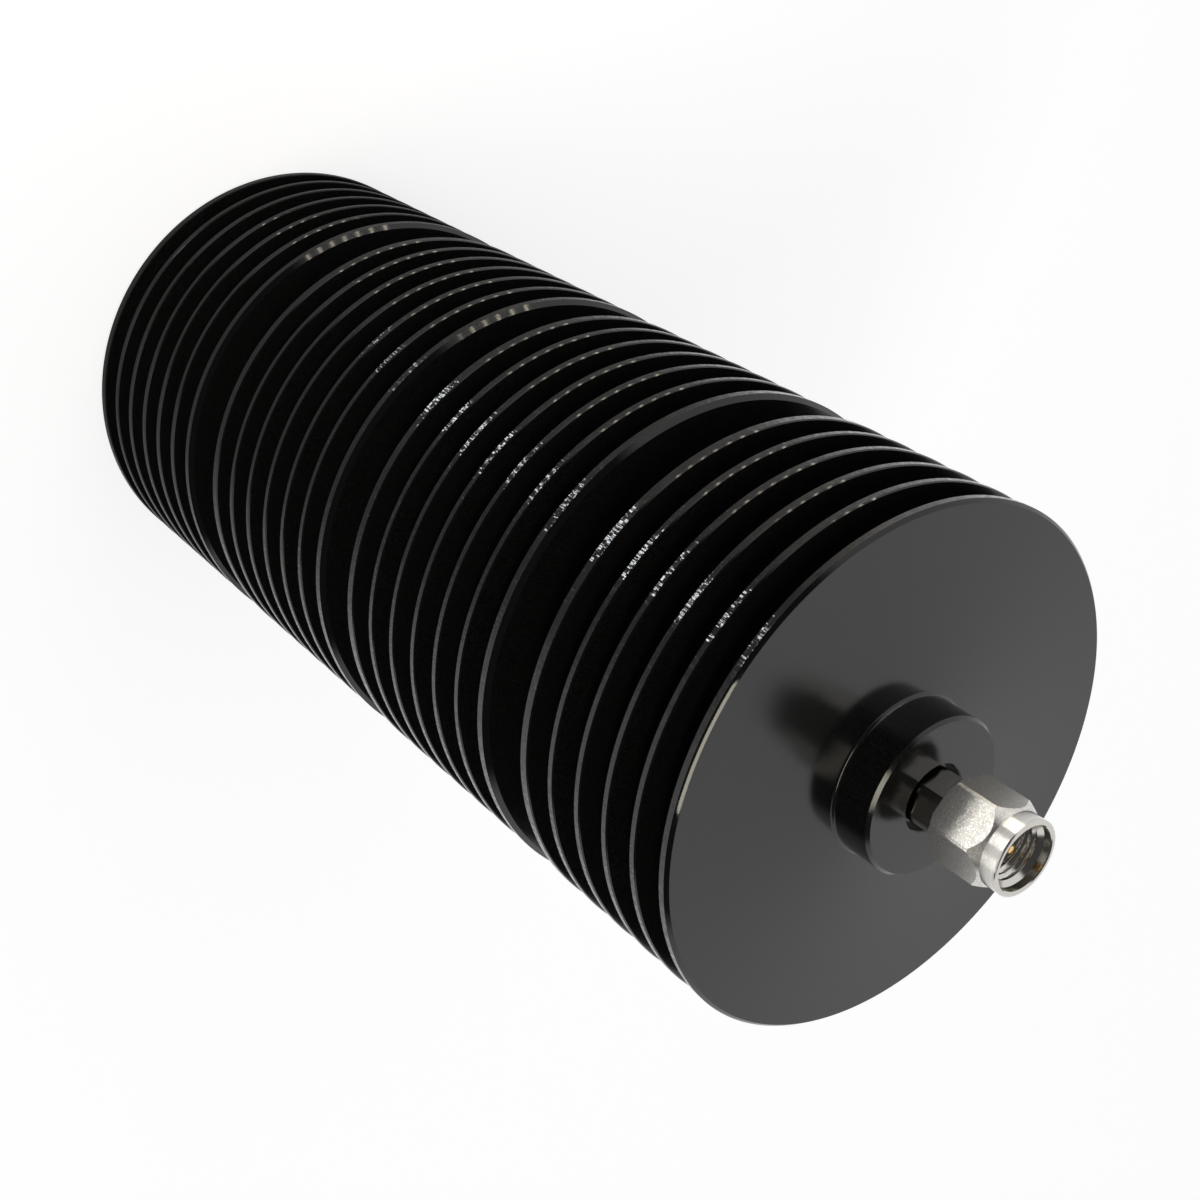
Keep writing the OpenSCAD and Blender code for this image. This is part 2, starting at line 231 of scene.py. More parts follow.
# Finned sections: four turned aluminium pieces, anodised satin black, shrunk onto the core one
# after the other. Each has a hub with thin fins and thicker end fins, whose outward edges are
# chamfered, and the front one has the disc and the boss for the plug. Sizes in millimetres.
fin_r = 27.5
fin_t = 1.0
fin_gap = 3.15
end_fin_t = 1.55
end_chamfer = 0.5
fin_break = 0.17
break_depth = 0.1
rear_break = 0.25
rear_depth = 0.15
edge_w = 0.4
rim_share = 0.3
hub_r = 12.0
core_r = 7.5
bore_edge = 0.3
section_l = 27.0
front_l = 22.55
disc_t = 1.25
disc_chamfer = 0.35
disc_crown = 5.0
boss_r = 8.25
boss_l = 4.5
boss_foot = 0.4
boss_chamfer = 0.32
recess_r = 3.455
recess_l = 1.0
recess_edge = 0.12
stem_r = 2.75
core_wall = 4.0
round_steps = 288
section_crease = 20.0


def shader_group(name, inputs, outputs):
    """Empty shader node group with named sockets. Returns the group, its input and its output."""
    tree = bpy.data.node_groups.new(name, "ShaderNodeTree")
    tree.interface.new_socket("Vector", in_out="INPUT", socket_type="NodeSocketVector")
    for label, value in inputs:
        socket = tree.interface.new_socket(label, in_out="INPUT", socket_type="NodeSocketFloat")
        socket.default_value = value
    for label in outputs:
        tree.interface.new_socket(label, in_out="OUTPUT", socket_type="NodeSocketFloat")
    return tree, tree.nodes.new("NodeGroupInput").outputs, tree.nodes.new("NodeGroupOutput").inputs


def polar(tree, vector):
    """Distance from the axis, the two parts of the unit vector round it, and the height."""
    parts = make_node(tree, "ShaderNodeSeparateXYZ")
    tree.links.new(vector, parts.inputs[0])
    x, y, z = parts.outputs
    square = math_node(tree, "ADD", math_node(tree, "MULTIPLY", x, x),
                       math_node(tree, "MULTIPLY", y, y))
    radius = math_node(tree, "MAXIMUM", math_node(tree, "SQRT", square), 1e-6)
    return radius, math_node(tree, "DIVIDE", x, radius), math_node(tree, "DIVIDE", y, radius), z


# Turning marks: fine rings on a face and fine lines round a cylinder, which follow the tool's feed.
# A slope of height into radius lets one pattern serve both.
lathe_marks, marks_in, marks_out = shader_group(
    "lathe_marks", (("Spacing", 0.0003), ("Wander", 0.6)), ("Height", "Bands"))
marks_slope = 1.37
marks_r, marks_x, marks_y, marks_z = polar(lathe_marks, marks_in["Vector"])
marks_way = math_node(lathe_marks, "ADD", marks_r,
                      math_node(lathe_marks, "MULTIPLY", marks_z, marks_slope))
marks_axis = make_node(lathe_marks, "ShaderNodeCombineXYZ")
for slot, value in zip(marks_axis.inputs, (
        math_node(lathe_marks, "DIVIDE", marks_way, marks_in["Spacing"]),
        math_node(lathe_marks, "MULTIPLY", marks_x, marks_in["Wander"]),
        math_node(lathe_marks, "MULTIPLY", marks_y, marks_in["Wander"]))):
    lathe_marks.links.new(value, slot)
for label, detail, scale in (("Height", 2.0, 1.0), ("Bands", 1.0, 0.12)):
    lines = make_node(lathe_marks, "ShaderNodeTexNoise", scale=scale, detail=detail, roughness=0.6)
    lathe_marks.links.new(marks_axis.outputs[0], lines.inputs["Vector"])
    lathe_marks.links.new(lines.outputs[0], marks_out[label])

# Fine blasted or etched grain, with a few brighter specks.
blast_grain, grain_in, grain_out = shader_group(
    "blast_grain", (("Size", 0.00012),), ("Height", "Speckle"))
grain_scaled = make_node(blast_grain, "ShaderNodeVectorMath", operation="SCALE")
blast_grain.links.new(grain_in["Vector"], grain_scaled.inputs[0])
blast_grain.links.new(math_node(blast_grain, "DIVIDE", 1.0, grain_in["Size"]),
                      grain_scaled.inputs["Scale"])
for label, scale, detail, roughness in (("Height", 1.0, 3.0, 0.65), ("Speckle", 0.43, 2.0, 0.5)):
    grain = make_node(blast_grain, "ShaderNodeTexNoise", scale=scale, detail=detail,
                      roughness=roughness)
    blast_grain.links.new(grain_scaled.outputs[0], grain.inputs["Vector"])
    blast_grain.links.new(grain.outputs[0], grain_out[label])

# Chatter: small flats across a rim, each tilted a little its own way, which a tool leaves as it
# bounces. Two rows of flats, a coarse and a fine one, lie over each other.
rim_chatter, chatter_in, chatter_out = shader_group(
    "rim_chatter", (("Flats", 500.0), ("Tilt", 0.1), ("Pitch", 0.00415)), ("Height", "Glints"))
chatter_unit = 100000.0
chatter_r, chatter_x, chatter_y, chatter_z = polar(rim_chatter, chatter_in["Vector"])
chatter_turn = math_node(rim_chatter, "DIVIDE", math_node(
    rim_chatter, "ARCTAN2", chatter_y, chatter_x), 2 * math.pi)
chatter_round = math_node(rim_chatter, "MULTIPLY", chatter_r, 2 * math.pi)
chatter_row = math_node(rim_chatter, "FLOOR", math_node(
    rim_chatter, "DIVIDE", chatter_z, chatter_in["Pitch"]))
chatter_sum = 0.0
for share, ratio in ((1.0, 1.0), (0.6, 2.37)):
    count = math_node(rim_chatter, "MULTIPLY", chatter_in["Flats"], ratio)
    along = math_node(rim_chatter, "MULTIPLY", chatter_turn, count)
    cell = make_node(rim_chatter, "ShaderNodeCombineXYZ")
    rim_chatter.links.new(math_node(rim_chatter, "FLOOR", along), cell.inputs[0])
    rim_chatter.links.new(chatter_row, cell.inputs[1])
    chance = make_node(rim_chatter, "ShaderNodeTexWhiteNoise", noise_dimensions="2D")
    rim_chatter.links.new(cell.outputs[0], chance.inputs["Vector"])
    lean = math_node(rim_chatter, "MULTIPLY", math_node(
        rim_chatter, "SUBTRACT", chance.outputs["Value"], 0.5), 2.0 * share)
    rise = math_node(rim_chatter, "MULTIPLY", lean, math_node(
        rim_chatter, "SUBTRACT", math_node(rim_chatter, "FRACT", along), 0.5))
    width = math_node(rim_chatter, "DIVIDE", chatter_round, count)
    chatter_sum = math_node(rim_chatter, "ADD", math_node(
        rim_chatter, "MULTIPLY", rise, width), chatter_sum)
chatter_height = math_node(rim_chatter, "MULTIPLY", chatter_sum, chatter_in["Tilt"])
rim_chatter.links.new(math_node(rim_chatter, "MULTIPLY", chatter_height, chatter_unit),
                      chatter_out["Height"])
rim_chatter.links.new(chance.outputs["Value"], chatter_out["Glints"])


def new_material(name, base, roughness, metallic=0.0, ior=1.5):
    """Material with one Principled shader and Object coordinates. Returns them with the tree."""
    material = bpy.data.materials.new(name)
    material.use_nodes = True
    tree = material.node_tree
    shader = tree.nodes["Principled BSDF"]
    shader.inputs["Base Color"].default_value = (*base, 1)
    shader.inputs["Roughness"].default_value = roughness
    shader.inputs["Metallic"].default_value = metallic
    shader.inputs["IOR"].default_value = ior
    place = make_node(tree, "ShaderNodeTexCoord").outputs["Object"]
    return material, tree, shader, place


def use_group(tree, group, place, **values):
    """Places a shader group in a material, with its own values. Returns its outputs."""
    item = tree.nodes.new("ShaderNodeGroup")
    item.node_tree = group
    tree.links.new(place, item.inputs["Vector"])
    for key, value in values.items():
        item.inputs[key.title()].default_value = value
    return item.outputs


def tint(tree, shader, value, dark, light, start=0.3, end=0.7):
    """Colours a surface between two tones by a mask."""
    mix = make_node(tree, "ShaderNodeMix", data_type="RGBA")
    tree.links.new(spread(tree, value, 0.0, 1.0, start, end), mix.inputs["Factor"])
    mix.inputs[6].default_value = (*dark, 1)
    mix.inputs[7].default_value = (*light, 1)
    tree.links.new(mix.outputs[2], shader.inputs["Base Color"])


def gloss(tree, shader, value, low, high, start=0.3, end=0.7):
    """Varies a surface's roughness by a mask."""
    tree.links.new(spread(tree, value, low, high, start, end), shader.inputs["Roughness"])


def relief(tree, shader, heights):
    """Bump from several heights, each with its depth in metres."""
    normal = None
    for value, depth in heights:
        bump = make_node(tree, "ShaderNodeBump", distance=depth, strength=1.0)
        tree.links.new(value, bump.inputs["Height"])
        if normal is not None:
            tree.links.new(normal, bump.inputs["Normal"])
        normal = bump.outputs[0]
    tree.links.new(normal, shader.inputs["Normal"])


dyed_black = (0.003, 0.003, 0.0032)
black_anodise, anodise, anodise_shader, anodise_place = new_material(
    "black_anodise", dyed_black, 0.14, ior=1.49)
anodise_grain = use_group(anodise, blast_grain, anodise_place, size=0.00007)
anodise_marks = use_group(anodise, lathe_marks, anodise_place, spacing=0.00025, wander=0.8)
tint(anodise, anodise_shader, anodise_grain["Speckle"],
     (0.003, 0.003, 0.0031), (0.011, 0.011, 0.0114), 0.4, 0.7)
gloss(anodise, anodise_shader, anodise_grain["Height"], 0.1, 0.17)
relief(anodise, anodise_shader, [(anodise_grain["Height"], 0.0000025),
                                 (anodise_marks["Height"], 0.000001)])

anodised_rim, rim, rim_shader, rim_place = new_material("anodised_rim", dyed_black, 0.1, ior=1.45)
rim_lines = use_group(rim, rim_chatter, rim_place, flats=780.0, tilt=0.1, pitch=0.0004)
rim_grain = use_group(rim, blast_grain, rim_place, size=0.00015)
tint(rim, rim_shader, rim_lines["Glints"],
     (0.002, 0.002, 0.0021), (0.006, 0.006, 0.0063), 0.0, 1.0)
gloss(rim, rim_shader, rim_lines["Glints"], 0.1, 0.04, 0.0, 1.0)
relief(rim, rim_shader, [(rim_lines["Height"], 0.00001), (rim_grain["Height"], 0.000003)])

anodised_edge, edge, edge_shader, edge_place = new_material(
    "anodised_edge", dyed_black, 0.06, ior=1.45)
edge_grain = use_group(edge, blast_grain, edge_place, size=0.0002)
gloss(edge, edge_shader, edge_grain["Speckle"], 0.09, 0.04)
relief(edge, edge_shader, [(edge_grain["Height"], 0.0000015)])


def fin_tree():
    """Turned section: the outline of an ordinary fin is repeated between the two end outlines,
    joined to them in one closed line and turned round the axis."""
    tree = bpy.data.node_groups.new("turned_fins", "GeometryNodeTree")
    sockets = {}
    for kind, labels in (
            ("NodeSocketGeometry", ("End Outlines",)),
            ("NodeSocketInt", ("Fins", "Steps")),
            ("NodeSocketFloat", ("First Fin", "Thickness", "Gap", "Fin Radius", "Hub Radius",
                                 "Edge Break", "Break Depth", "Rear Break", "Rear Depth",
                                 "Edge Width")),
            ("NodeSocketMaterial", ("Finish", "Edge Finish", "Rim Finish"))):
        for label in labels:
            socket = tree.interface.new_socket(label, in_out="INPUT", socket_type=kind)
            sockets[label] = socket.identifier
    tree.interface.new_socket("Section", in_out="OUTPUT", socket_type="NodeSocketGeometry")
    given = tree.nodes.new("NodeGroupInput").outputs
    result = tree.nodes.new("NodeGroupOutput").inputs[0]

    def add(kind, *feeds, **settings):
        """Adds a node and feeds its inputs. Returns its first output."""
        item = make_node(tree, kind, **settings)
        for label, source in feeds:
            if source is not None:
                tree.links.new(source, item.inputs[label])
        return item.outputs[0]

    thickness, fin_reach, hub_reach = given["Thickness"], given["Fin Radius"], given["Hub Radius"]
    front_rim = math_node(tree, "SUBTRACT", fin_reach, given["Break Depth"])
    rear_rim = math_node(tree, "SUBTRACT", fin_reach, given["Rear Depth"])
    rim_top = math_node(tree, "SUBTRACT", thickness, given["Edge Break"])
    pitch = math_node(tree, "ADD", thickness, given["Gap"])
    corners = ((hub_reach, None), (rear_rim, None), (fin_reach, given["Rear Break"]),
               (fin_reach, rim_top), (front_rim, thickness), (hub_reach, thickness),
               (hub_reach, pitch))
    choose = make_node(tree, "GeometryNodeIndexSwitch", data_type="VECTOR")
    for _ in corners[2:]:
        choose.index_switch_items.new()
    tree.links.new(add("GeometryNodeInputIndex"), choose.inputs[0])
    for slot, (radius, height) in zip(choose.inputs[1:], corners):
        tree.links.new(add("ShaderNodeCombineXYZ", ("X", radius), ("Z", height)), slot)
    outline = add("GeometryNodeSetPosition", ("Position", choose.outputs[0]),
                  ("Geometry", add("GeometryNodeMeshLine", count=len(corners))))
    places = add("GeometryNodeMeshLine", ("Count", given["Fins"]),
                 ("Start Location", add("ShaderNodeCombineXYZ", ("Z", given["First Fin"]))),
                 ("Offset", add("ShaderNodeCombineXYZ", ("Z", pitch))))
    repeat = add("GeometryNodeInstanceOnPoints", ("Points", places), ("Instance", outline))
    fins = add("GeometryNodeRealizeInstances", ("Geometry", repeat))
    joined = add("GeometryNodeJoinGeometry", ("Geometry", given["End Outlines"]),
                 ("Geometry", fins))
    welded = add("GeometryNodeMergeByDistance", ("Geometry", joined), distance=0.000002)
    inward = add("ShaderNodeCombineXYZ", ("X", math_node(tree, "MULTIPLY", hub_reach, -1.0)))
    upright = add("GeometryNodeTransform", ("Geometry", welded), ("Translation", inward),
                  rotation=(math.pi / 2, 0, 0))
    line = add("GeometryNodeMeshToCurve", ("Mesh", upright))
    circle = add("GeometryNodeCurvePrimitiveCircle", ("Resolution", given["Steps"]),
                 ("Radius", hub_reach))
    turn = add("GeometryNodeCurveToMesh", ("Curve", circle), ("Profile Curve", line))
    whole = add("GeometryNodeRealizeInstances", ("Geometry", turn))
    section = add("GeometryNodeSetMaterial", ("Geometry", whole), ("Material", given["Finish"]))
    flat = make_node(tree, "ShaderNodeVectorMath", operation="MULTIPLY")
    flat.inputs[1].default_value = (1, 1, 0)
    tree.links.new(add("GeometryNodeInputPosition"), flat.inputs[0])
    reach = make_node(tree, "ShaderNodeVectorMath", operation="LENGTH")
    tree.links.new(flat.outputs[0], reach.inputs[0])
    rim_depth = math_node(tree, "MULTIPLY", given["Break Depth"], rim_share)
    for label, depth in (("Edge Finish", given["Edge Width"]), ("Rim Finish", rim_depth)):
        outside = math_node(tree, "GREATER_THAN", reach.outputs["Value"],
                            math_node(tree, "SUBTRACT", fin_reach, depth))
        section = add("GeometryNodeSetMaterial", ("Geometry", section), ("Selection", outside),
                      ("Material", given[label]))
    tree.links.new(section, result)
    return tree, sockets


def finish_mesh(mesh, crease=28.0):
    """Merges doubles, turns the faces outwards and keeps edges between smooth surfaces crisp."""
    edit = bmesh.new()
    edit.from_mesh(mesh)
    bmesh.ops.remove_doubles(edit, verts=edit.verts, dist=1e-7)
    bmesh.ops.recalc_face_normals(edit, faces=edit.faces)
    edit.to_mesh(mesh)
    edit.free()
    mesh.shade_smooth()
    mesh.set_sharp_from_angle(angle=math.radians(crease))


def place_piece(name, mesh, body, node):
    """Puts a finished mesh in the scene for its CAD node, on its body and with its finish."""
    piece = bpy.data.objects.new(name, mesh)
    bpy.context.collection.objects.link(piece)
    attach(piece, body)
    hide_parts(node)
    return piece


def arc(r, z, radius, start, end, steps):
    """Points of a rounded edge in an outline, in millimetres and degrees."""
    angles = [math.radians(start + (end - start) * k / steps) for k in range(steps + 1)]
    return [(r + radius * math.cos(a), z + radius * math.sin(a)) for a in angles]


turned_fins, fin_sockets = fin_tree()
rear_end = [(core_r + bore_edge, 0), (fin_r - end_chamfer, 0), (fin_r, end_chamfer),
            (fin_r, end_fin_t - fin_break), (fin_r - break_depth, end_fin_t), (hub_r, end_fin_t),
            (hub_r, end_fin_t + fin_gap)]


def front_end_plain(space):
    """Last fin of a plain section, and its hub up to the next section."""
    low = section_l - end_fin_t
    return [(hub_r, low), (fin_r - rear_depth, low), (fin_r, low + rear_break),
            (fin_r, section_l - end_chamfer), (fin_r - end_chamfer, section_l),
            (hub_r, section_l), (hub_r, section_l + space),
            (core_r, section_l + space), (core_r, bore_edge), (core_r + bore_edge, 0)]


def front_end_boss():
    """Front disc with a slightly crowned chamfer, and the boss with its rounded foot, the plug's
    recess and its thread's hole."""
    low = front_l - disc_t
    top = front_l + boss_l
    crown = math.radians(disc_crown)
    crown_r = disc_chamfer / math.sqrt(2) / math.sin(crown)
    crown_in = (disc_chamfer + math.sqrt(2) * crown_r * math.cos(crown)) / 2
    return ([(hub_r, low), (fin_r - rear_depth, low), (fin_r, low + rear_break)]
            + arc(fin_r - crown_in, front_l - crown_in, crown_r,
                  45 - disc_crown, 45 + disc_crown, steps=3)
            + arc(boss_r + boss_foot, front_l + boss_foot, boss_foot, 270, 180, steps=5)
            + [(boss_r, top - boss_chamfer), (boss_r - boss_chamfer, top),
               (recess_r + recess_edge, top), (recess_r, top - recess_edge),
               (recess_r, top - recess_l), (stem_r, top - recess_l),
               (stem_r, front_l - core_wall), (core_r, front_l - core_wall),
               (core_r, bore_edge), (core_r + bore_edge, 0)])


def fin_section(node, plain_fins, front_end):
    """Builds one section on the place of its CAD node."""
    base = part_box(node)[0][2] / MM
    points, edges = [], []
    for outline in (rear_end, front_end):
        first = len(points)
        points += [(r * MM, 0, (base + z) * MM) for r, z in outline]
        edges += [(first + k, first + k + 1) for k in range(len(outline) - 1)]
    ends = bpy.data.meshes.new(node + "_ends")
    ends.from_pydata(points, edges, [])
    draft = bpy.data.objects.new(node + "_draft", ends)
    bpy.context.collection.objects.link(draft)
    modifier = draft.modifiers.new("turned_fins", "NODES")
    modifier.node_group = turned_fins
    for label, value in (
            ("Fins", plain_fins), ("Steps", round_steps),
            ("First Fin", (base + end_fin_t + fin_gap) * MM), ("Thickness", fin_t * MM),
            ("Gap", fin_gap * MM), ("Fin Radius", fin_r * MM), ("Hub Radius", hub_r * MM),
            ("Edge Break", fin_break * MM), ("Break Depth", break_depth * MM),
            ("Rear Break", rear_break * MM), ("Rear Depth", rear_depth * MM),
            ("Edge Width", edge_w * MM), ("Finish", black_anodise),
            ("Edge Finish", anodised_edge), ("Rim Finish", anodised_rim)):
        modifier[fin_sockets[label]] = value
    seen = draft.evaluated_get(bpy.context.evaluated_depsgraph_get())
    mesh = bpy.data.meshes.new_from_object(seen)
    mesh.name = node + "_turned"
    draft.modifiers.remove(modifier)
    bpy.data.objects.remove(draft)
    finish_mesh(mesh, section_crease)
    place_piece(node + "_turned", mesh, "load", node)


for node, next_node in (("rear_fin_section", "rear_middle_fin_section"),
                        ("rear_middle_fin_section", "front_middle_fin_section"),
                        ("front_middle_fin_section", "front_fin_section")):
    space = (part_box(next_node)[0][2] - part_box(node)[0][2]) / MM - section_l
    fin_section(node, plain_fins=5, front_end=front_end_plain(space))
fin_section("front_fin_section", plain_fins=4, front_end=front_end_boss())

# Core: turned aluminium bar that runs through all four sections and carries the heat to them.
# Its rear end lies just inside the rear face. The chamber in its front end holds the resistor.
core_edge = 0.3
chamber_r = 3.45
chamber_rear_r = 2.4
cap_l = 3.0
tail_l = 2.5


def turned_finish(name, roughness, spacing, wander, dark, light, depth, metallic=1.0):
    """Material of a surface from the lathe: bands of tone, and fine rings that can vary its gloss
    between two values."""
    base = [(d + b) / 2 for d, b in zip(dark, light)]
    low, high = roughness
    material, tree, shader, place = new_material(name, base, (low + high) / 2, metallic)
    marks = use_group(tree, lathe_marks, place, spacing=spacing, wander=wander)
    tint(tree, shader, marks["Bands"], dark, light)
    if low != high:
        gloss(tree, shader, marks["Height"], low, high)
    relief(tree, shader, [(marks["Height"], depth)])
    return material


def turned(name, outline, steps=128):
    """Mesh turned from a closed outline of radius and height in millimetres."""
    points, rows, faces = [], [], []
    angles = [2 * math.pi * k / steps for k in range(steps)]
    for r, z in outline:
        if r < 1e-6:
            rows.append([len(points)] * steps)
            points.append((0, 0, z * MM))
        else:
            rows.append(list(range(len(points), len(points) + steps)))
            points += [(r * MM * math.cos(a), r * MM * math.sin(a), z * MM) for a in angles]
    for low, high in zip(rows, rows[1:] + rows[:1]):
        for k in range(steps):
            n = (k + 1) % steps
            face = list(dict.fromkeys((low[k], low[n], high[n], high[k])))
            if len(face) > 2:
                faces.append(face)
    mesh = bpy.data.meshes.new(name)
    mesh.from_pydata(points, [], faces)
    finish_mesh(mesh)
    return mesh


bare_aluminium = turned_finish("bare_aluminium", (0.26, 0.42), 0.0002, 0.5,
                               (0.5, 0.51, 0.52), (0.68, 0.69, 0.7), 0.000006)
core_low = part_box("core")[0][2] / MM
core_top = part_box("core")[1][2] / MM
cap_front = core_top - tail_l
chamber_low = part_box("resistor_rear_cap")[0][2] / MM
core_mesh = turned("core_turned", [
    (0, core_low), (core_r - core_edge, core_low), (core_r, core_low + core_edge),
    (core_r, core_top), (chamber_r, core_top), (chamber_r, cap_front - cap_l),
    (chamber_rear_r, chamber_low + cap_l), (chamber_rear_r, chamber_low), (0, chamber_low)])
core_mesh.materials.append(bare_aluminium)
place_piece("core_turned", core_mesh, "load", "core")

# Resistor: ceramic rod with a baked resistive film, between two silver-plated caps. The front cap
# takes the pin's tail, and the rear cap sits in a slotted bronze sleeve that grounds it to the
# core. These pieces and the nut's bronze ring keep their CAD shapes and get their finishes here.


def grained_finish(name, roughness, size, dark, light, depth, metallic=0.0):
    """Material with a fine grain in its tone and its relief."""
    base = [(d + b) / 2 for d, b in zip(dark, light)]
    material, tree, shader, place = new_material(name, base, roughness, metallic)
    grain = use_group(tree, blast_grain, place, size=size)
    tint(tree, shader, grain["Speckle"], dark, light)
    relief(tree, shader, [(grain["Height"], depth)])
    return material


film_ceramic = grained_finish("film_ceramic", 0.45, 0.00008,
                              (0.018, 0.016, 0.015), (0.06, 0.052, 0.046), 0.000004)
silver_plate = turned_finish("silver_plate", (0.3, 0.3), 0.00012, 0.5,
                             (0.68, 0.66, 0.62), (0.84, 0.83, 0.8), 0.000003)
spring_bronze = grained_finish("spring_bronze", 0.35, 0.0001,
                               (0.42, 0.26, 0.1), (0.62, 0.42, 0.18), 0.000003, metallic=1.0)
for node, finish in (("resistor_rod", film_ceramic), ("resistor_front_cap", silver_plate),
                     ("resistor_rear_cap", silver_plate), ("ground_collet", spring_bronze),
                     ("retaining_ring", spring_bronze)):
    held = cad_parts[node]
    held.data.materials.clear()
    held.data.materials.append(finish)

# Plug body: stainless outer conductor, turned from hexagon bar and screwed into the boss by its
# wrench hexagon. The hexagon's corners are turned off, and the neck in front carries the nut.
hex_flat_r = 2.9
hex_corner_r = 3.125
hex_edge = 0.35
hex_cut = hex_corner_r - hex_edge
hex_crease = 12.0
recess_space = 0.2
nut_space = 0.1
neck_r = 2.6
neck_groove_r = 2.3
ring_t = 0.5
ferrule_r = 2.295
ferrule_l = 1.95
ferrule_edge = 0.12
ferrule_end_r = 2.2
bead_r = 2.055
bead_rear_r = 2.25
bead_rear_l = 4.0
turned_steel = turned_finish("turned_steel", (0.1, 0.2), 0.00007, 1.2,
                             (0.57, 0.55, 0.515), (0.64, 0.62, 0.585), 0.0000008)


def hex_columns(flat_r, corner_r, turn, flat_steps=20, corner_steps=5):
    """Angles round a hexagon with its corners turned off, and the hexagon's radius at each."""
    edge_turn = math.acos(flat_r / corner_r)
    corner_turn = math.radians(60) - 2 * edge_turn
    angles = []
    for side in range(6):
        middle = math.radians(turn + 60 * side)
        angles += [middle - edge_turn + 2 * edge_turn * k / flat_steps for k in range(flat_steps)]
        angles += [middle + edge_turn + corner_turn * k / corner_steps
                   for k in range(corner_steps)]
    radii = []
    for angle in angles:
        away = (angle - math.radians(turn) + math.radians(30)) % math.radians(60)
        radii.append(flat_r / math.cos(away - math.radians(30)))
    return angles, radii


def columns_mesh(name, angles, rows, finishes, second_rows=()):
    """Closed mesh from rows of points, one for each angle. Some rows get the second finish."""
    count = len(angles)
    points = [(r * MM * math.cos(a), r * MM * math.sin(a), z * MM)
              for row in rows for a, (r, z) in zip(angles, row)]
    faces, second = [], []
    for level in range(len(rows)):
        low = level * count
        high = (level + 1) % len(rows) * count
        for k in range(count):
            n = (k + 1) % count
            faces.append((low + k, low + n, high + n, high + k))
            second.append(int(level in second_rows))
    mesh = bpy.data.meshes.new(name)
    mesh.from_pydata(points, [], faces)
    for finish in finishes:
        mesh.materials.append(finish)
    mesh.polygons.foreach_set("material_index", second)
    finish_mesh(mesh, hex_crease)
    return mesh


def round_rows(angles, outline):
    """Rows of points for the round parts of a hexagon piece."""
    return [[(r, z)] * len(angles) for r, z in outline]


body_low = core_top
hex_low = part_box("front_fin_section")[1][2] / MM - recess_l + recess_space
nut_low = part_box("coupling_nut")[0][2] / MM
hex_top = nut_low - nut_space
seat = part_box("connector_body")[1][2] / MM
shoulder = seat - ferrule_l
ring_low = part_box("retaining_ring")[0][2] / MM
bead_step = body_low + bead_rear_l
hex_angles, hex_radii = hex_columns(hex_flat_r, hex_corner_r, 0)
hex_turned = [min(hex_corner_r, r) for r in hex_radii]
body_rows = round_rows(hex_angles, ((stem_r, body_low), (stem_r, hex_low), (hex_cut, hex_low)))
body_rows.append([(r, hex_low + r - hex_cut) for r in hex_turned])
body_rows.append([(r, hex_top - r + hex_cut) for r in hex_turned])
body_rows += round_rows(hex_angles, (
    (hex_cut, hex_top), (neck_r, hex_top), (neck_r, ring_low), (neck_groove_r, ring_low),
    (neck_groove_r, ring_low + ring_t), (neck_r, ring_low + ring_t), (neck_r, shoulder),
    (ferrule_r, shoulder), (ferrule_r, seat - ferrule_edge), (ferrule_end_r, seat), (bead_r, seat),
    (bead_r, bead_step), (bead_rear_r, bead_step), (bead_rear_r, body_low)))
body_mesh = columns_mesh("connector_body_turned", hex_angles, body_rows, (turned_steel,))
place_piece("connector_body_turned", body_mesh, "load", "connector_body")

# Insulator and pin: white PTFE bead pressed into the body, flush with its seat, and the
# gold-plated pin in its middle. The pin's collar is trapped in the bead, and its rounded tip
# stands free inside the nut.
pin_r = 0.635
tail_r = 0.475
pin_collar_r = 0.85
pin_collar_l = 1.0
pin_collar_space = 2.0
tip_r = 0.457
tip_rounding = ((0.457, 0.3), (0.43, 0.16), (0.36, 0.06), (0.235, 0.0))
ptfe = turned_finish("ptfe", (0.5, 0.5), 0.00015, 0.4,
                     (0.76, 0.76, 0.73), (0.86, 0.86, 0.84), 0.000004, metallic=0.0)
collar_low = bead_step + pin_collar_space
collar_end = collar_low + pin_collar_l
bead_mesh = turned("connector_insulator_turned", [
    (pin_r, body_low), (bead_rear_r, body_low), (bead_rear_r, bead_step), (bead_r, bead_step),
    (bead_r, seat), (pin_r, seat), (pin_r, collar_end), (pin_collar_r, collar_end),
    (pin_collar_r, collar_low), (pin_r, collar_low)], steps=96)
bead_mesh.materials.append(ptfe)
place_piece("connector_insulator_turned", bead_mesh, "load", "connector_insulator")

gold_plate = turned_finish("gold_plate", (0.22, 0.22), 0.00006, 0.6,
                           (0.76, 0.48, 0.15), (0.9, 0.62, 0.25), 0.000002)
pin_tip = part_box("centre_pin")[1][2] / MM
pin_mesh = turned("centre_pin_turned", [
    (0, cap_front), (tail_r, cap_front), (tail_r, body_low), (pin_r, body_low),
    (pin_r, collar_low), (pin_collar_r, collar_low), (pin_collar_r, collar_end),
    (pin_r, collar_end), (pin_r, seat), (tip_r, seat)]
    + [(r, pin_tip - back) for r, back in tip_rounding] + [(0, pin_tip)], steps=64)
pin_mesh.materials.append(gold_plate)
place_piece("centre_pin_turned", pin_mesh, "load", "centre_pin")

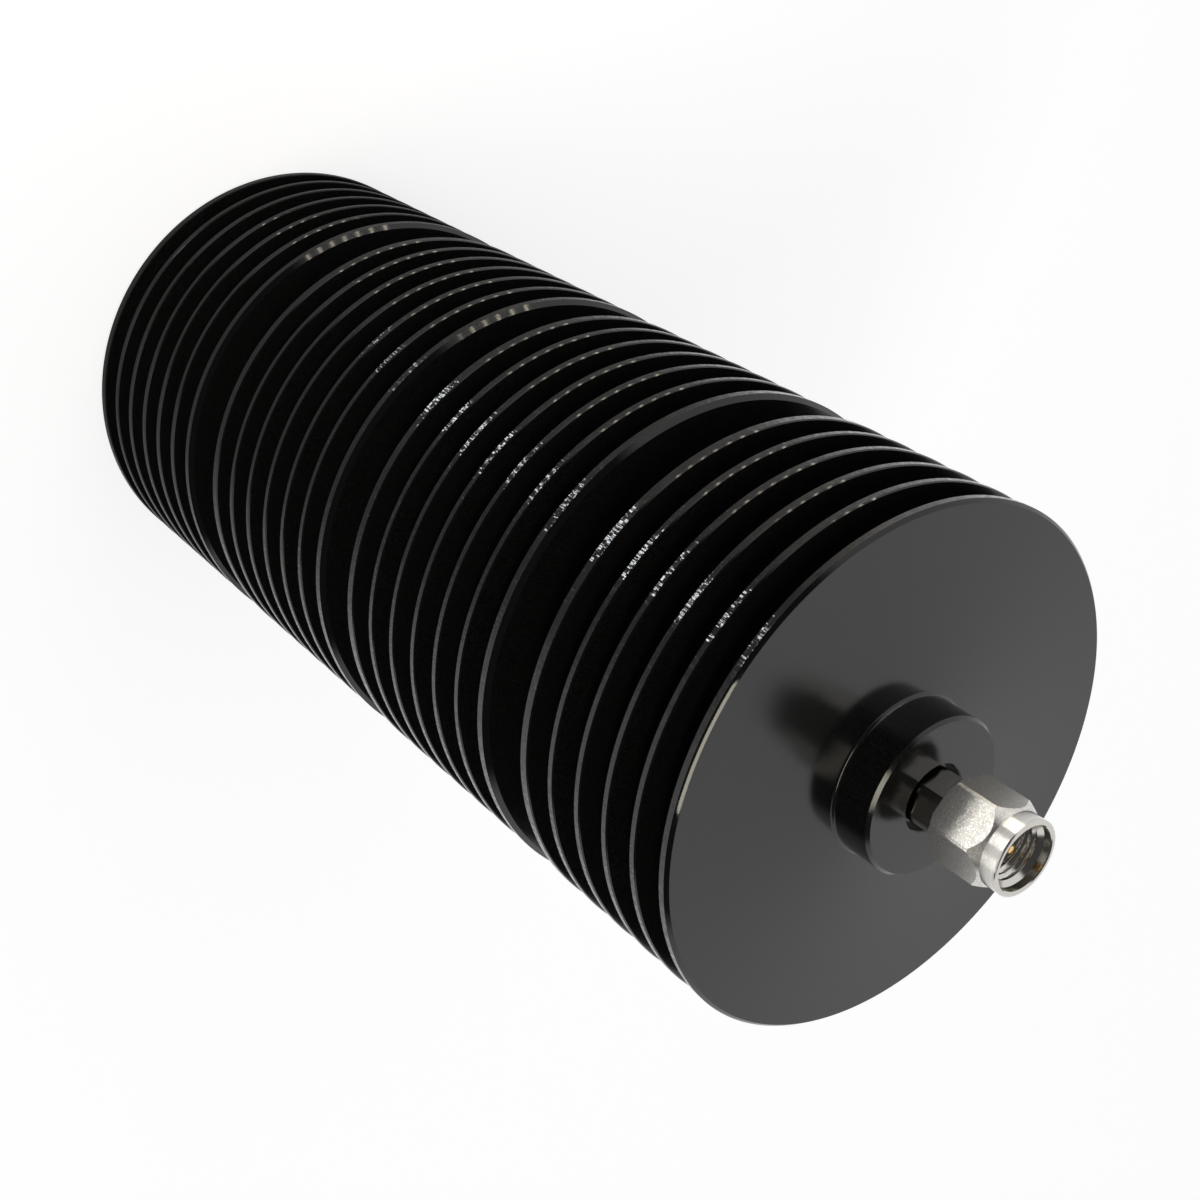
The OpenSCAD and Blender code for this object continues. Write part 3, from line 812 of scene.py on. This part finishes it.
# Gasket: moulded silicone ring, stretched over the ferrule. It seals the jack's end inside the
# nut.
gasket_r = 2.95
gasket_edge = 0.13
gasket_round = 0.2
gasket_inner_r = 2.4
gasket_lip = 0.1
silicone = grained_finish("silicone", 0.55, 0.00015,
                          (0.15, 0.04, 0.028), (0.26, 0.075, 0.05), 0.000006)
gasket_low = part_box("nut_gasket")[0][2] / MM
gasket_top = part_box("nut_gasket")[1][2] / MM
gasket_mesh = turned("nut_gasket_moulded", [
    (ferrule_r, gasket_low), (gasket_r - gasket_edge, gasket_low),
    (gasket_r, gasket_low + gasket_edge)]
    + arc(gasket_r - gasket_round, gasket_top - gasket_round, gasket_round, 0, 90, steps=5)
    + [(gasket_inner_r, gasket_top), (ferrule_r, gasket_top - gasket_lip)], steps=96)
gasket_mesh.materials.append(silicone)
place_piece("nut_gasket_moulded", gasket_mesh, "load", "nut_gasket")

# Coupling nut: stainless hexagon nut, turned at both ends, with blasted flats, a smooth mouth and
# a fine thread. A split ring in its groove holds it on the neck, where it turns freely.
nut_flat_r = 4.0
nut_corner_r = 4.525
nut_edge = 0.35
nut_cut = nut_corner_r - nut_edge
nut_bore_r = 2.65
nut_groove_r = 2.93
ring_play = 0.05
gasket_seat_r = 3.2
collar_r = 3.85
collar_l = 1.8
collar_edge = 0.15
cone_slope = math.tan(math.radians(30))
mouth_r = 3.3
mouth_edge = 0.1
thread_r = 2.86
thread_in = 1.3
thread_l = 2.9
thread_pitch = 0.7056
thread_depth = 0.29
thread_slope = 2.6
thread_land = 0.15
thread_fade = 0.25
thread_steps = 66
blasted_steel, blasted, blasted_shader, blasted_place = new_material(
    "blasted_steel", (0.6, 0.585, 0.56), 0.3, 1.0)
blasted_grain = use_group(blasted, blast_grain, blasted_place, size=0.00005)
tint(blasted, blasted_shader, blasted_grain["Speckle"],
     (0.46, 0.45, 0.425), (0.8, 0.78, 0.74), 0.36, 0.64)
gloss(blasted, blasted_shader, blasted_grain["Speckle"], 0.33, 0.26)
relief(blasted, blasted_shader, [(blasted_grain["Height"], 0.000004)])

nut_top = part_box("coupling_nut")[1][2] / MM
cone_top = nut_top - collar_l
cone_low = cone_top - (nut_corner_r - collar_r) / cone_slope
thread_top = nut_top - thread_in
thread_low = thread_top - thread_l
nut_angles, nut_radii = hex_columns(nut_flat_r, nut_corner_r, 90)
nut_turned = [min(nut_corner_r, r) for r in nut_radii]
nut_rows = round_rows(nut_angles, ((nut_bore_r, nut_low),))
nut_rows.append([(min(nut_cut, r), nut_low) for r in nut_radii])
nut_rows.append([(r, nut_low + max(0.0, r - nut_cut)) for r in nut_turned])
nut_rows.append([(r, cone_low + (nut_corner_r - r) / cone_slope) for r in nut_turned])
nut_rows += round_rows(nut_angles, (
    (collar_r, cone_top), (collar_r, nut_top - collar_edge),
    (collar_r - collar_edge / 3, nut_top - collar_edge / 3), (collar_r - collar_edge, nut_top),
    (mouth_r + mouth_edge, nut_top), (mouth_r, nut_top - mouth_edge),
    (mouth_r, thread_top + mouth_r - thread_r)))
for step in range(thread_steps + 1):
    z = thread_top - thread_l * step / thread_steps
    fade = max(0.0, min(1.0, (thread_top - z) / thread_fade, (z - thread_low) / thread_fade))
    row = []
    for angle in nut_angles:
        turn = (z / thread_pitch - angle / (2 * math.pi)) % 1.0
        crest = min(1.0, max(0.0, thread_slope * abs(turn - 0.5) - thread_land))
        row.append((thread_r + thread_depth * (1.0 - crest) * fade, z))
    nut_rows.append(row)
nut_rows += round_rows(nut_angles, (
    (gasket_seat_r, thread_low), (gasket_seat_r, gasket_low - ring_play),
    (nut_bore_r, gasket_low - ring_play), (nut_bore_r, ring_low + ring_t + ring_play),
    (nut_groove_r, ring_low + ring_t + ring_play), (nut_groove_r, ring_low - ring_play),
    (nut_bore_r, ring_low - ring_play)))
# The second finish is on the rows of the flats and of the cone.
nut_mesh = columns_mesh("coupling_nut_turned", nut_angles, nut_rows,
                        (turned_steel, blasted_steel), (2, 3))
nut_piece = place_piece("coupling_nut_turned", nut_mesh, "nut", "coupling_nut")

# The low boxes and the card light the nut alone, and the key box is kept off it.
for name, boxes, state in (("nut_light", nut_boxes, "INCLUDE"),
                           ("nut_shade", (key_box,), "EXCLUDE")):
    linked = bpy.data.collections.new(name)
    linked.objects.link(nut_piece)
    linked.collection_objects[0].light_linking.link_state = state
    for box in boxes:
        box.light_linking.receiver_collection = linked
